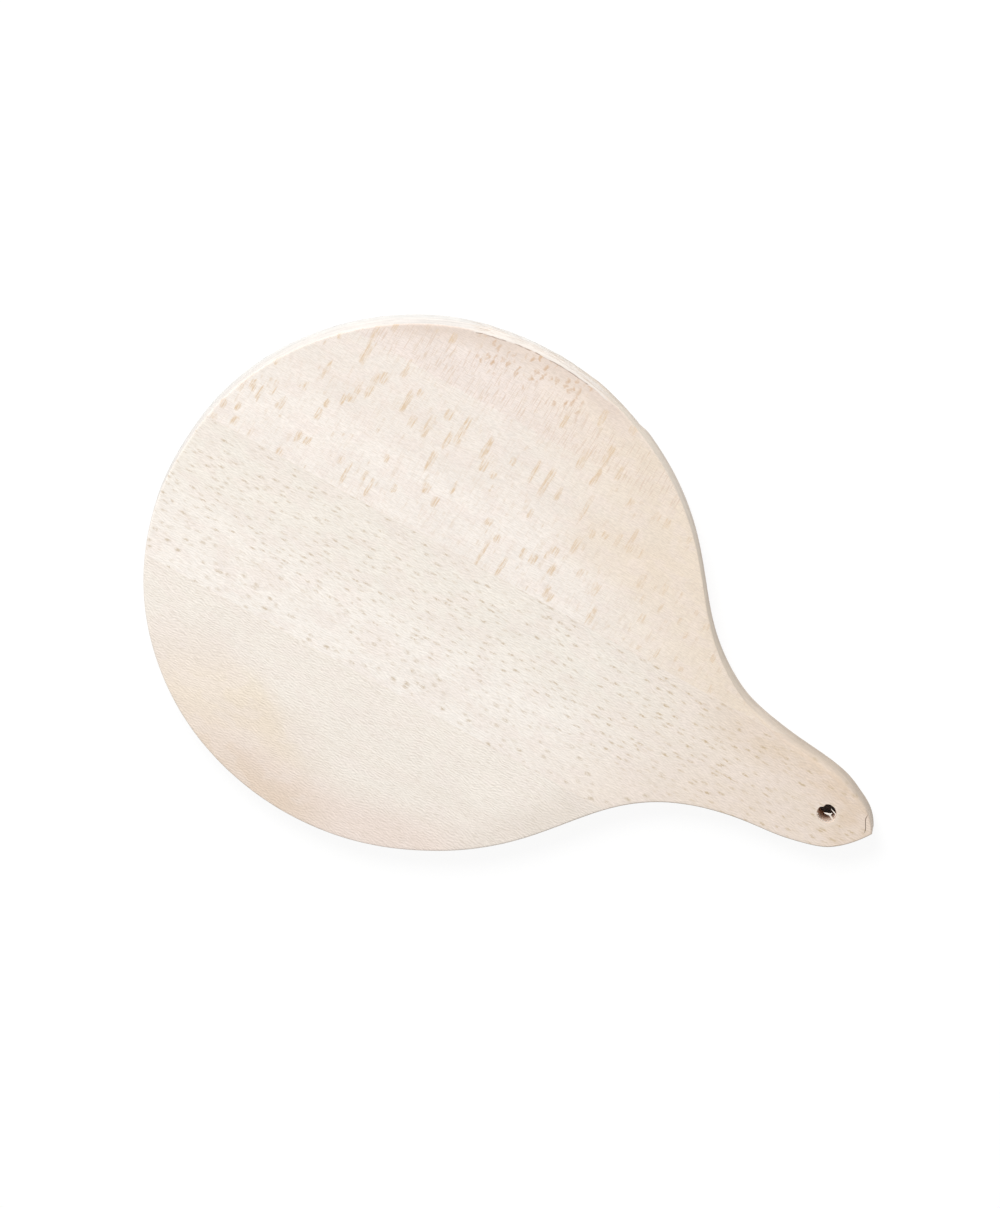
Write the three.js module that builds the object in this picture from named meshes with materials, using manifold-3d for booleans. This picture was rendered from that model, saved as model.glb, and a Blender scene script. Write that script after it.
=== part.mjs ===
// Round polenta board with a tapered handle, glued up edge to edge from three beech staves.
// Millimetres. +X runs along the handle, +Z is up, and the origin is under the middle of the disc.

import * as THREE from 'three';
import { mergeVertices } from 'three/addons/utils/BufferGeometryUtils.js';
import Module from 'manifold-3d';

// Overall sizes.
const DISC_DIAMETER = 280;
const BOARD_LENGTH = 400;
const BOARD_THICKNESS = 16;

// The neck: where it leaves the disc, in degrees from the handle's axis, and how full its sweep is.
const NECK_START_ANGLE = 66;
const NECK_FULLNESS_AT_DISC = 0.5;
const NECK_FULLNESS_AT_GRIP = 0.46;

// The grip: its width at a set distance from the tip, and how far its sides still close in there.
const GRIP_WIDTH = 51;
const GRIP_TO_TIP = 62;
const GRIP_TAPER_ANGLE = 9.5;

// The handle's end: two full curves that meet in a blunt point.
const END_FULLNESS_AT_GRIP = 0.4;
const END_FULLNESS_AT_TIP = 0.44;
const TIP_HALF_ANGLE = 60;

// Sanded arrises, barely eased round the disc and a little more along the handle.
const DISC_EASE = 1;
const GRIP_EASE = 2;
const LEAST_EDGE_HEIGHT = 1;

// The hanging hole, on the handle's axis.
const HOLE_DIAMETER = 9.5;
const HOLE_TO_TIP = 24;

// The staves run along the handle. The middle one holds the handle, so it sits off centre.
const MIDDLE_STAVE_WIDTH = 80;
const MIDDLE_STAVE_TOP_EDGE = 25;
const GLUE_THICKNESS = 0.15;

// Facets along the outline, over an arris and round the hole.
const DISC_STEPS = 44;
const NECK_STEPS = 28;
const END_STEPS = 20;
const ARRIS_STEPS = 3;
const HOLE_SIDES = 40;

// How far the saw and the drill run past the wood.
const OVERRUN = 5;

const BEECH_ROUGHNESS = 0.62;
const GLUE_ROUGHNESS = 0.5;

const wasm = await Module();
wasm.setup();

const discRadius = DISC_DIAMETER / 2;
const tipX = BOARD_LENGTH - discRadius;

function direction(degrees) {
  const angle = THREE.MathUtils.degToRad(degrees);
  return new THREE.Vector2(Math.cos(angle), Math.sin(angle));
}

// A smooth curve between two points that leaves and arrives along given directions.
function sweep(from, leaving, fullnessFrom, to, arriving, fullnessTo) {
  const span = from.distanceTo(to);
  const first = from.clone().addScaledVector(leaving, fullnessFrom * span);
  const second = to.clone().addScaledVector(arriving, -fullnessTo * span);
  return new THREE.CubicBezierCurve(from, first, second, to);
}

// Points along a curve, each with its outward normal and the radius of the arris there.
function stations(curve, steps, easeAt) {
  const list = [];
  for (let step = 0; step < steps; step += 1) {
    const share = step / steps;
    const along = curve.getTangent(share);
    list.push({
      point: curve.getPoint(share),
      outward: new THREE.Vector2(along.y, -along.x),
      ease: Math.min(easeAt(share), (BOARD_THICKNESS - LEAST_EDGE_HEIGHT) / 2),
    });
  }
  return list;
}

// One side of the outline, from the tip back over the handle and the disc to the far end.
function upperSide() {
  const tip = new THREE.Vector2(tipX, 0);
  const grip = new THREE.Vector2(tipX - GRIP_TO_TIP, GRIP_WIDTH / 2);
  const neckStart = direction(NECK_START_ANGLE).multiplyScalar(discRadius);
  const backFromTip = direction(180 - TIP_HALF_ANGLE);
  const backAtGrip = direction(180 - GRIP_TAPER_ANGLE);
  const backAtDisc = direction(90 + NECK_START_ANGLE);

  const end = sweep(tip, backFromTip, END_FULLNESS_AT_TIP, grip, backAtGrip, END_FULLNESS_AT_GRIP);
  const neck = sweep(
    grip, backAtGrip, NECK_FULLNESS_AT_GRIP, neckStart, backAtDisc, NECK_FULLNESS_AT_DISC,
  );
  const disc = new THREE.ArcCurve(
    0, 0, discRadius, THREE.MathUtils.degToRad(NECK_START_ANGLE), Math.PI, false,
  );

  const fade = (share) => THREE.MathUtils.smoothstep(share, 0, 1);
  const side = [
    ...stations(end, END_STEPS, () => GRIP_EASE),
    ...stations(neck, NECK_STEPS, (share) => THREE.MathUtils.lerp(GRIP_EASE, DISC_EASE, fade(share))),
    ...stations(disc, DISC_STEPS, () => DISC_EASE),
  ];
  // The two curves of the end are mitred where they meet at the tip.
  side[0].outward.set(1 / side[0].outward.x, 0);
  return side;
}

// The whole outline, anticlockwise seen from above, the lower side mirrored from the upper one.
function outline() {
  const side = upperSide();
  const farEnd = {
    point: new THREE.Vector2(-discRadius, 0),
    outward: new THREE.Vector2(-1, 0),
    ease: DISC_EASE,
  };
  const mirrored = side.slice(1).reverse().map((station) => ({
    point: new THREE.Vector2(station.point.x, -station.point.y),
    outward: new THREE.Vector2(station.outward.x, -station.outward.y),
    ease: station.ease,
  }));
  return [...side, farEnd, ...mirrored];
}

// The edge's profile from the underside up, as shares of the arris radius taken off inwards and in height.
function edgeProfile() {
  const lower = [];
  for (let step = 0; step <= ARRIS_STEPS; step += 1) {
    const angle = (step / ARRIS_STEPS) * (Math.PI / 2);
    lower.push({ inset: 1 - Math.sin(angle), rise: 1 - Math.cos(angle), fromTop: false });
  }
  const upper = lower.map((level) => ({ ...level, fromTop: true })).reverse();
  return [...lower, ...upper];
}

// The glued-up blank cut to its outline, with both arrises rounded over.
function blankGeometry() {
  const rim = outline();
  const levels = edgeProfile();
  const positions = [];
  for (const level of levels) {
    for (const { point, outward, ease } of rim) {
      const height = level.rise * ease;
      positions.push(
        point.x - outward.x * level.inset * ease,
        point.y - outward.y * level.inset * ease,
        level.fromTop ? BOARD_THICKNESS - height : height,
      );
    }
  }

  const count = rim.length;
  const triangles = [];
  for (let level = 0; level < levels.length - 1; level += 1) {
    for (let here = 0; here < count; here += 1) {
      const next = (here + 1) % count;
      const low = level * count;
      const high = low + count;
      triangles.push(low + here, low + next, high + next);
      triangles.push(low + here, high + next, high + here);
    }
  }

  const face = rim.map(({ point, outward, ease }) => point.clone().addScaledVector(outward, -ease));
  const top = (levels.length - 1) * count;
  for (const [a, b, c] of THREE.ShapeUtils.triangulateShape(face, [])) {
    triangles.push(top + a, top + b, top + c);
    triangles.push(c, b, a);
  }

  const geometry = new THREE.BufferGeometry();
  geometry.setAttribute('position', new THREE.Float32BufferAttribute(positions, 3));
  geometry.setIndex(triangles);
  return geometry;
}

function toSolid(geometry) {
  geometry.deleteAttribute('normal');
  geometry.deleteAttribute('uv');
  const merged = mergeVertices(geometry);
  return new wasm.Manifold(new wasm.Mesh({
    numProp: 3,
    vertProperties: new Float32Array(merged.attributes.position.array),
    triVerts: new Uint32Array(merged.index.array),
  }));
}

function toGeometry(solid) {
  const { vertProperties, triVerts } = solid.getMesh();
  const geometry = new THREE.BufferGeometry();
  geometry.setAttribute('position', new THREE.BufferAttribute(vertProperties, 3));
  geometry.setIndex(new THREE.BufferAttribute(triVerts, 1));
  geometry.computeVertexNormals();
  return geometry;
}

function drillBit() {
  const bit = new THREE.CylinderGeometry(
    HOLE_DIAMETER / 2, HOLE_DIAMETER / 2, BOARD_THICKNESS + 2 * OVERRUN, HOLE_SIDES,
  );
  bit.rotateX(Math.PI / 2);
  bit.translate(tipX - HOLE_TO_TIP, 0, BOARD_THICKNESS / 2);
  return toSolid(bit);
}

// Everything between two saw lines along the grain.
function ripped(blank, lowY, highY) {
  const slab = new THREE.BoxGeometry(
    BOARD_LENGTH + 2 * OVERRUN, highY - lowY, BOARD_THICKNESS + 2 * OVERRUN,
  );
  slab.translate(BOARD_LENGTH / 2 - discRadius, (lowY + highY) / 2, BOARD_THICKNESS / 2);
  return blank.intersect(toSolid(slab));
}

function piece(name, solid, color, roughness) {
  const material = new THREE.MeshStandardMaterial({ color, roughness, metalness: 0 });
  const mesh = new THREE.Mesh(toGeometry(solid), material);
  mesh.name = name;
  return mesh;
}

const blank = toSolid(blankGeometry()).subtract(drillBit());
const sideReach = discRadius + OVERRUN;
const upperEdge = MIDDLE_STAVE_TOP_EDGE;
const lowerEdge = upperEdge - MIDDLE_STAVE_WIDTH;
const upperStaveEdge = upperEdge + GLUE_THICKNESS;
const lowerStaveEdge = lowerEdge - GLUE_THICKNESS;

const board = new THREE.Group();
board.add(
  piece('upper_stave', ripped(blank, upperStaveEdge, sideReach), 0xf2e6d8, BEECH_ROUGHNESS),
  piece('upper_glue_line', ripped(blank, upperEdge, upperStaveEdge), 0xd9c4a6, GLUE_ROUGHNESS),
  piece('middle_stave', ripped(blank, lowerEdge, upperEdge), 0xefe4d6, BEECH_ROUGHNESS),
  piece('lower_glue_line', ripped(blank, lowerStaveEdge, lowerEdge), 0xd9c4a6, GLUE_ROUGHNESS),
  piece('lower_stave', ripped(blank, -sideReach, lowerStaveEdge), 0xeee2d3, BEECH_ROUGHNESS),
);

export default board;
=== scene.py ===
# Round polenta board with a tapered handle, glued up from three beech staves and sanded.
# Metres. +X runs along the handle, +Z is up, and the origin is under the middle of the disc.

import math

import bmesh
import bpy
from mathutils import Matrix, Vector, noise
from mathutils.geometry import delaunay_2d_cdt, interpolate_bezier


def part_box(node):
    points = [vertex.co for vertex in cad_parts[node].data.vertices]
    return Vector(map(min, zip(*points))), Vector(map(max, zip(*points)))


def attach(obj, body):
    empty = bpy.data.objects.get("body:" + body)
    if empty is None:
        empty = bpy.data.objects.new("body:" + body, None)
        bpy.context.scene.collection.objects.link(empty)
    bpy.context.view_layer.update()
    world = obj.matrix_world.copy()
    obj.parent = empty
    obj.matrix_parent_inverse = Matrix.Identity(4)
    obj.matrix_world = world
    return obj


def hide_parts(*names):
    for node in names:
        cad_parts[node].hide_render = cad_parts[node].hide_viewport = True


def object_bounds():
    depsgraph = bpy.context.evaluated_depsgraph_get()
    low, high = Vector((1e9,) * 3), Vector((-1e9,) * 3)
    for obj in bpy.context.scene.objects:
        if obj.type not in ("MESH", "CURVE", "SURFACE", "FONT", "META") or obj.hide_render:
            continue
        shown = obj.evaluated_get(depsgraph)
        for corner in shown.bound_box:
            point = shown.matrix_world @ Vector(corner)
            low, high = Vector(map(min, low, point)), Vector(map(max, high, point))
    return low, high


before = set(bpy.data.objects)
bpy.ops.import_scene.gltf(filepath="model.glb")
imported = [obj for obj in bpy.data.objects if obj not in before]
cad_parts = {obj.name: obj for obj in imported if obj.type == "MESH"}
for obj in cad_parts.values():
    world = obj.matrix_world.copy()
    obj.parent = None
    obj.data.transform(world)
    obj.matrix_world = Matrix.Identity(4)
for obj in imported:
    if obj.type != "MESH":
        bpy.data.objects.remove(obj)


# Upper stave: the far side of the disc, quarter-sawn beech, so its rays show as flecks across the grain.
# The staves are glued edge to edge, sawn to one outline and sanded, so all three are ripped from one blank.
# The saw tore the long grain at the far side of the disc, and the arris there is rough and a little hollow.
MM = 0.001
cad_low, cad_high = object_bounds()
DISC_RADIUS = -cad_low.x
TIP_X = cad_high.x
THICKNESS = cad_high.z
UPPER_STAVE_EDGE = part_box("upper_stave")[0].y

NECK_START_ANGLE = math.radians(66)
NECK_FULLNESS = (0.46, 0.50)
GRIP_HALF_WIDTH = 25.1 * MM
GRIP_TO_TIP = 62 * MM
GRIP_TAPER_ANGLE = math.radians(9.5)
END_FULLNESS = (0.44, 0.40)
TIP_HALF_ANGLE = math.radians(60)
TIP_MITRE = 10 * MM
END_STEPS = 56
NECK_STEPS = 130
DISC_STEPS = 360

TIP_DRIFT = Vector((1.15 * MM, 2.4 * MM))
TIP_DRIFT_FROM = (244 * MM, 259 * MM)
STRAYS = (
    (Vector((-12, -140)) * MM, 110 * MM, 1.1 * MM),
    (Vector((-140, 4)) * MM, 24 * MM, 0.8 * MM),
    (Vector((172, 30)) * MM, 16 * MM, 1.0 * MM),
    (Vector((236, -19)) * MM, 13 * MM, 1.5 * MM),
)
HAND_WANDER = 0.2 * MM
HAND_WANDER_LENGTH = 55 * MM

EDGE_EASE = Vector((1.0 * MM, 1.0 * MM))
GRIP_EASE = Vector((3.0 * MM, 7.0 * MM))
GRIP_EASE_FROM = (170 * MM, 205 * MM)
GRIP_EASE_TO = (238 * MM, 256 * MM)
ARRIS_STEPS = 6
WALL_STEPS = 26
FACE_MARGINS = (0.8 * MM, 1.7 * MM, 2.8 * MM, 4.2 * MM)
TIP_MARGIN_SHARE = 0.08
TIP_MARGIN_FROM = (236 * MM, 247 * MM)
SHARP_ANGLE = math.radians(32)
SAW_OVERRUN = 10 * MM
CUT_TOLERANCE = 1e-7

TORN_ANGLES = [math.radians(angle) for angle in (74, 79, 105, 108)]
TORN_EASE = 1.1 * MM
TORN_DEPTH = 0.38 * MM
TORN_DIP = 0.30 * MM
TORN_CHIP_LENGTH = 7 * MM
BROKEN_ANGLES = [math.radians(angle) for angle in (64, 67, 96, 115)]
BROKEN_DEPTH = 1.2 * MM
SAWN_DEPTH = 0.05 * MM
STREAK_SIZE = (14 * MM, 7 * MM, 1.1 * MM)
STREAK_NOISE = (0.8, 2.0, 4)
END_GRAIN_SHARE = 0.3


def heading(angle):
    """The direction at an angle from +X, in the plane of the board."""
    return Vector((math.cos(angle), math.sin(angle)))


def sweep(start, leaving, end, arriving, fullness, steps):
    """Points on a smooth curve that leaves and arrives along given directions, without the last one."""
    span = (end - start).length
    first = start + leaving * (fullness[0] * span)
    second = end - arriving * (fullness[1] * span)
    return interpolate_bezier(start, first, second, end, steps + 1)[:-1]


def eased_between(value, start, end):
    """0 at start and 1 at end, with a soft start and stop."""
    share = min(max((value - start) / (end - start), 0.0), 1.0)
    return share * share * (3 - 2 * share)


def drawn_side():
    """Points of one side of the drawn outline, from the tip over the handle and the disc to the far end."""
    tip = Vector((TIP_X, 0))
    grip = Vector((TIP_X - GRIP_TO_TIP, GRIP_HALF_WIDTH))
    neck_start = heading(NECK_START_ANGLE) * DISC_RADIUS
    back_at_tip = heading(math.pi - TIP_HALF_ANGLE)
    back_at_grip = heading(math.pi - GRIP_TAPER_ANGLE)
    back_at_disc = heading(math.pi / 2 + NECK_START_ANGLE)
    end = sweep(tip, back_at_tip, grip, back_at_grip, END_FULLNESS, END_STEPS)
    neck = sweep(grip, back_at_grip, neck_start, back_at_disc, NECK_FULLNESS, NECK_STEPS)
    turn = (math.pi - NECK_START_ANGLE) / DISC_STEPS
    disc = [heading(NECK_START_ANGLE + turn * step) * DISC_RADIUS for step in range(DISC_STEPS)]
    return [*end, *neck, *disc]


def strayed(point):
    """Where the hand-held saw cut a point of the outline: the tip leans, and some stretches fall inside."""
    spine = Vector((min(max(point.x, 0), TIP_X - GRIP_TO_TIP), 0))
    inside = HAND_WANDER * noise.noise((point / HAND_WANDER_LENGTH).to_3d())
    for place, spread, depth in STRAYS:
        inside += depth * math.exp(-((point - place).length / spread) ** 2)
    tip = TIP_DRIFT * eased_between(point.x, *TIP_DRIFT_FROM)
    return point + (spine - point).normalized() * inside + tip


def arris_at(point):
    """How far the upper arris reaches in and down: slight all round, tall along the grip's upper side."""
    taller = eased_between(point.x, *GRIP_EASE_FROM) * (1 - eased_between(point.x, *GRIP_EASE_TO))
    return EDGE_EASE.lerp(GRIP_EASE, taller if point.y > 0 else 0)


def margins_at(point):
    """How far the rings of the serving face lie inside the arris: close together beside the tip's crack."""
    share = 1 - (1 - TIP_MARGIN_SHARE) * eased_between(point.x, *TIP_MARGIN_FROM)
    return [margin * share for margin in FACE_MARGINS]


def share_round(point, angles):
    """0 to 1 and back to 0 round the rim, between four angles."""
    angle = math.atan2(point.y, point.x)
    start, full, still_full, end = angles
    return eased_between(angle, start, full) * (1 - eased_between(angle, still_full, end))


def sawn_rim():
    """The outline as cut, anticlockwise: each point and its outward normal."""
    side = drawn_side()
    other_side = [Vector((point.x, -point.y)) for point in reversed(side[1:])]
    cut = [strayed(point) for point in [*side, Vector((-DISC_RADIUS, 0)), *other_side]]
    mitre = Vector((1 / math.sin(TIP_HALF_ANGLE), 0))
    rim = []
    for here, point in enumerate(cut):
        along = (cut[(here + 1) % len(cut)] - cut[here - 1]).normalized()
        square = Vector((along.y, -along.x))
        outward = mitre.lerp(square, eased_between((point - cut[0]).length, 0, TIP_MITRE))
        rim.append((point, outward))
    return rim


def edge_section(reach_in, reach_down, margins):
    """The edge as insets and heights, from the underside up: arris, wall, arris and rim of the face."""
    turns = [math.pi / 2 * step / ARRIS_STEPS for step in range(ARRIS_STEPS + 1)]
    low_in, low_up = EDGE_EASE
    wall_top = THICKNESS - reach_down
    section = [(low_in + FACE_MARGINS[-1], 0.0)]
    section += [(low_in * (1 - math.sin(turn)), low_up * (1 - math.cos(turn))) for turn in turns]
    section += [(0.0, low_up + (wall_top - low_up) * step / WALL_STEPS) for step in range(1, WALL_STEPS)]
    section += [(reach_in * (1 - math.cos(turn)), wall_top + reach_down * math.sin(turn)) for turn in turns]
    section += [(reach_in + margin, THICKNESS) for margin in margins]
    return section


def fibre_lift(place, outward, torn):
    """How far the sawn edge stands out at a place: streaks along the grain, deeper where it is torn."""
    streak = noise.fractal([at / size for at, size in zip(place, STREAK_SIZE)], *STREAK_NOISE)
    share = END_GRAIN_SHARE + (1 - END_GRAIN_SHARE) * abs(outward.y)
    return streak * (SAWN_DEPTH + TORN_DEPTH * torn) * share


def sawn_blank():
    """The glued-up board, sawn to its outline with both arrises sanded over, as a new bmesh."""
    blank = bmesh.new()
    columns = []
    for point, outward in sawn_rim():
        torn = share_round(point, TORN_ANGLES)
        broken = BROKEN_DEPTH * share_round(point, BROKEN_ANGLES)
        chip = torn * (0.5 + 0.5 * noise.noise((point.x / TORN_CHIP_LENGTH, 0.3, 0.7)))
        reach_in, reach_down = arris_at(point)
        reach_in += TORN_EASE * chip
        column = []
        for inset, height in edge_section(reach_in, reach_down, margins_at(point)):
            flat = point - outward * (inset + broken * (1 - height / THICKNESS))
            place = flat.to_3d() + Vector((0, 0, height))
            place += outward.to_3d() * (fibre_lift(place, outward, torn) * max(1 - inset / EDGE_EASE.x, 0))
            dip = eased_between(height, THICKNESS - reach_down, THICKNESS)
            dip *= 1 - eased_between(inset - reach_in, 0, FACE_MARGINS[-1])
            place.z -= TORN_DIP * chip * dip
            column.append(blank.verts.new(place))
        columns.append(column)
    for here, column in enumerate(columns):
        before = columns[here - 1]
        for level in range(len(column) - 1):
            blank.faces.new((before[level], column[level], column[level + 1], before[level + 1]))
    blank.faces.new([column[0] for column in reversed(columns)])
    blank.faces.new([column[-1] for column in columns])
    return blank


board_blank = sawn_blank()


def ripped(low_y, high_y):
    """The part of the blank between two saw lines along the grain, as a new bmesh."""
    stave = board_blank.copy()
    for saw_y, outer in ((low_y, -1), (high_y, 1)):
        cut = bmesh.ops.bisect_plane(
            stave,
            geom=[*stave.verts, *stave.edges, *stave.faces],
            dist=CUT_TOLERANCE,
            plane_co=(0, saw_y, 0),
            plane_no=(0, outer, 0),
            clear_outer=True,
        )
        edges = [part for part in cut["geom_cut"] if isinstance(part, bmesh.types.BMEdge)]
        if edges:
            bmesh.ops.contextual_create(stave, geom=edges)
    bmesh.ops.recalc_face_normals(stave, faces=stave.faces)
    return stave


def fitted(name, shape, finish):
    """The shape as a piece of the board with its finish, riding on the board."""
    mesh = bpy.data.meshes.new(name)
    shape.to_mesh(mesh)
    shape.free()
    mesh.shade_smooth()
    mesh.set_sharp_from_angle(angle=SHARP_ANGLE)
    mesh.materials.append(finish)
    piece = bpy.data.objects.new(name, mesh)
    bpy.context.scene.collection.objects.link(piece)
    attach(piece, "root")
    return piece


def seen(red, green, blue):
    """A colour written as it looks on a screen, 0 to 255, as the shader takes it."""
    shares = [level / 255 for level in (red, green, blue)]
    linear = [s / 12.92 if s <= 0.04045 else ((s + 0.055) / 1.055) ** 2.4 for s in shares]
    return (*linear, 1.0)


SHEEN = 0.3


class Surface:
    """A finish, built node by node. Most methods give back the socket that carries their result.

    Lengths are in millimetres along the grain, across it and up through the board.
    """

    def __init__(self, name):
        self.material = bpy.data.materials.new(name)
        self.material.use_nodes = True
        self.tree = self.material.node_tree
        self.shader = self.tree.nodes["Principled BSDF"]
        metres = self.node("ShaderNodeTexCoord", {}, "Object")
        self.straight = self.node("ShaderNodeVectorMath", {0: metres, "Scale": 1 / MM}, operation="SCALE")
        self.place = self.straight
        self.along, self.across, self.up = self.split(self.straight)
        facing = self.split(metres.node.outputs["Normal"])[2]
        facing = self.node("ShaderNodeMath", {0: facing}, operation="ABSOLUTE")
        self.shoulder_painted_shade = self.product(self.ramp(facing, 0.998, 0.96), self.ramp(facing, 0.35, 0.8))
        self.arris = self.ramp(facing, 0.98, 0.6)
        self.wall = self.ramp(facing, 0.9, 0.35)

    def node(self, kind, inputs, output=0, **settings):
        """Adds a node with these inputs, each linked or set, and gives back one of its outputs."""
        made = self.tree.nodes.new(kind)
        for setting, value in settings.items():
            setattr(made, setting, value)
        for socket, value in inputs.items():
            if isinstance(value, bpy.types.NodeSocket):
                self.tree.links.new(value, made.inputs[socket])
            else:
                made.inputs[socket].default_value = value
        return made.outputs[output]

    def split(self, vector):
        return self.node("ShaderNodeSeparateXYZ", {0: vector}).node.outputs

    def sum(self, first, second):
        return self.node("ShaderNodeMath", {0: first, 1: second}, operation="ADD")

    def product(self, first, *others):
        for other in others:
            first = self.node("ShaderNodeMath", {0: first, 1: other}, operation="MULTIPLY")
        return first

    def least(self, first, second):
        return self.node("ShaderNodeMath", {0: first, 1: second}, operation="MINIMUM")

    def gap(self, first, second):
        """How far apart two values are."""
        apart = self.node("ShaderNodeMath", {0: first, 1: second}, operation="SUBTRACT")
        return self.node("ShaderNodeMath", {0: apart}, operation="ABSOLUTE")

    def distance(self, x, y):
        """How far each place is from an upright line through the board."""
        away = self.node("ShaderNodeVectorMath", {0: self.straight, 1: (x, y, 0)}, operation="SUBTRACT")
        flat = self.node("ShaderNodeVectorMath", {0: away, 1: (1, 1, 0)}, operation="MULTIPLY")
        return self.node("ShaderNodeVectorMath", {0: flat}, "Value", operation="LENGTH")

    def counted(self, lengths, seed):
        """The place in the wood counted in the given lengths, moved by seed elsewhere in a pattern."""
        counts = [1 / length for length in lengths]
        inputs = {0: self.place, 1: counts, 2: (seed, 1.7 * seed, 2.3 * seed)}
        return self.node("ShaderNodeVectorMath", inputs, operation="MULTIPLY_ADD")

    def cloud(self, lengths, seed=0.0, detail=2.0):
        """Soft noise about 0.5 that varies over the given lengths."""
        inputs = {"Vector": self.counted(lengths, seed), "Scale": 1.0, "Detail": detail}
        return self.node("ShaderNodeTexNoise", inputs)

    def ramp(self, value, start, end, low=0.0, high=1.0):
        """Low where value is at start, high where it is at end, and eased between."""
        inputs = {"Value": value, "From Min": start, "From Max": end, "To Min": low, "To Max": high}
        return self.node("ShaderNodeMapRange", inputs, interpolation_type="SMOOTHSTEP")

    def stain(self, below, colour, share):
        """The colour laid over what is below, by share."""
        return self.node("ShaderNodeMix", {0: share, 6: below, 7: colour}, 2, data_type="RGBA")

    def scaled(self, colour, strength):
        """The colour made lighter or darker by a strength about 1."""
        return self.node("ShaderNodeVectorMath", {0: colour, "Scale": strength}, operation="SCALE")

    def mottled(self, colour, pattern, depth):
        """The colour made lighter and darker by up to depth, following a pattern about 0.5."""
        return self.scaled(colour, self.ramp(pattern, 0.25, 0.75, 1 - depth, 1 + depth))

    def blushed(self, colour, pink, seed):
        """The colour with soft pinker patches a few millimetres across."""
        patches = self.ramp(self.cloud((13, 8, 8), seed), 0.46, 0.62, 0, 0.3)
        return self.stain(colour, pink, patches)

    def sawn_walls_and_painted_shading(self, colour, pattern):
        """The colour on the faces and a sawn edge on the walls, darker along the handle, with painted light
        and shade on the walls.
        """
        sawn = self.stain(seen(229, 217, 203), seen(222, 208, 191), self.ramp(self.along, 90, 125))
        sawn = self.stain(sawn, seen(218, 204, 189), self.ramp(self.along, 150, 185))
        sawn = self.stain(sawn, seen(207, 192, 176), self.ramp(self.along, 180, 210))
        # Painted shade: the walls are made darker towards the bottom, standing for the shade near the
        # floor.
        sawn = self.scaled(sawn, self.ramp(self.up, 1, 12, 0.89, 1.05))
        # Painted light: the walls facing the lamp, far left, get a paler, more neutral tone, itself darker
        # low down as painted shade.
        far_left = self.sum(self.product(self.along, -0.82), self.product(self.across, 0.57))
        pale = self.stain(seen(223, 221, 217), seen(228, 222, 216), self.ramp(self.up, 2, 10))
        sawn = self.stain(sawn, pale, self.ramp(far_left, 45, 95))
        sawn = self.mottled(sawn, pattern, 0.04)
        sawn = self.mottled(sawn, self.cloud((26, 26, 1.1), 3.3, 4.0), 0.08)
        sawn = self.mottled(sawn, self.cloud((7, 7, 4), 6.3, 3.0), 0.04)
        # Painted shade on the grip's rounded upper wall: the wall colour fades back to the face colour
        # towards the top.
        grip = self.product(self.ramp(self.across, 4, 12), self.ramp(self.along, 158, 188))
        rolled_painted_shade = self.product(grip, self.ramp(self.up, 8, 16, 0, 0.65))
        colour = self.stain(colour, sawn, self.product(self.wall, self.ramp(rolled_painted_shade, 0, 1, 1, 0)))
        # Painted shade: a darker stain on the grip's upper arris damps the highlight the lamp gives there.
        colour = self.stain(colour, seen(213, 193, 172), self.product(grip, self.shoulder_painted_shade, 0.35))
        # Painted shadow: a dark line along the upper arris of the handle's near side, standing for the
        # shadow beside that edge.
        near_side = self.product(self.ramp(self.across, -6, -14), self.ramp(self.along, 95, 150))
        near_arris_painted_shadow = self.product(self.arris, self.ramp(self.up, 14, 15), near_side)
        return self.stain(colour, seen(190, 174, 157), near_arris_painted_shadow)

    def pores(self, colour, shade, strength, seed):
        """Fine open pores, short thin lines along the grain, some hardly showing."""
        line, chance = self.rays((4.4, 0.95, 1.3), (4.6, 0.45, 2.0), seed, 1.0, (1.3, 0.35))
        return self.stain(colour, shade, self.product(line, self.ramp(chance, 0.1, 1.0), strength))

    def hairlines(self, lengths, lines, seed):
        """Fine lines along the grain about 0.5, so many to each patch of the given lengths."""
        inputs = {"Vector": self.counted(lengths, seed), "Scale": 1.0, "Frequency": lines}
        inputs |= {"Anisotropy": 0.75, "Orientation 2D": math.pi / 2}
        return self.node("ShaderNodeTexGabor", inputs)

    def wander(self, lengths, reach, seed):
        """Bends the grain from here on: the place is moved by up to reach, over the given lengths."""
        inputs = {"Vector": self.counted(lengths, seed), "Scale": 1.0, "Detail": 1.5}
        push = self.node("ShaderNodeTexNoise", inputs, "Color")
        centred = self.node("ShaderNodeVectorMath", {0: push, 1: (0.5, 0.5, 0.5)}, operation="SUBTRACT")
        inputs = {0: centred, 1: [2 * length for length in reach], 2: self.place}
        self.place = self.node("ShaderNodeVectorMath", inputs, operation="MULTIPLY_ADD")

    def rays(self, spacing, size, seed, scatter=1.0, edge=(1.15, 0.55)):
        """Scattered rays cut by the surface: how strongly they mark each place, and a chance for each."""
        place = self.counted(spacing, seed)
        inputs = {"Vector": place, "Scale": 1.0, "Randomness": scatter}
        middle = self.node("ShaderNodeTexVoronoi", inputs, "Position")
        chance = self.split(middle.node.outputs["Color"])[0]
        away = self.node("ShaderNodeVectorMath", {0: place, 1: middle}, operation="SUBTRACT")
        reach = [2 * space / length for space, length in zip(spacing, size)]
        away = self.node("ShaderNodeVectorMath", {0: away, 1: reach}, operation="MULTIPLY")
        away = self.node("ShaderNodeVectorMath", {0: away}, "Value", operation="LENGTH")
        return self.ramp(away, *edge), chance

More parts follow.
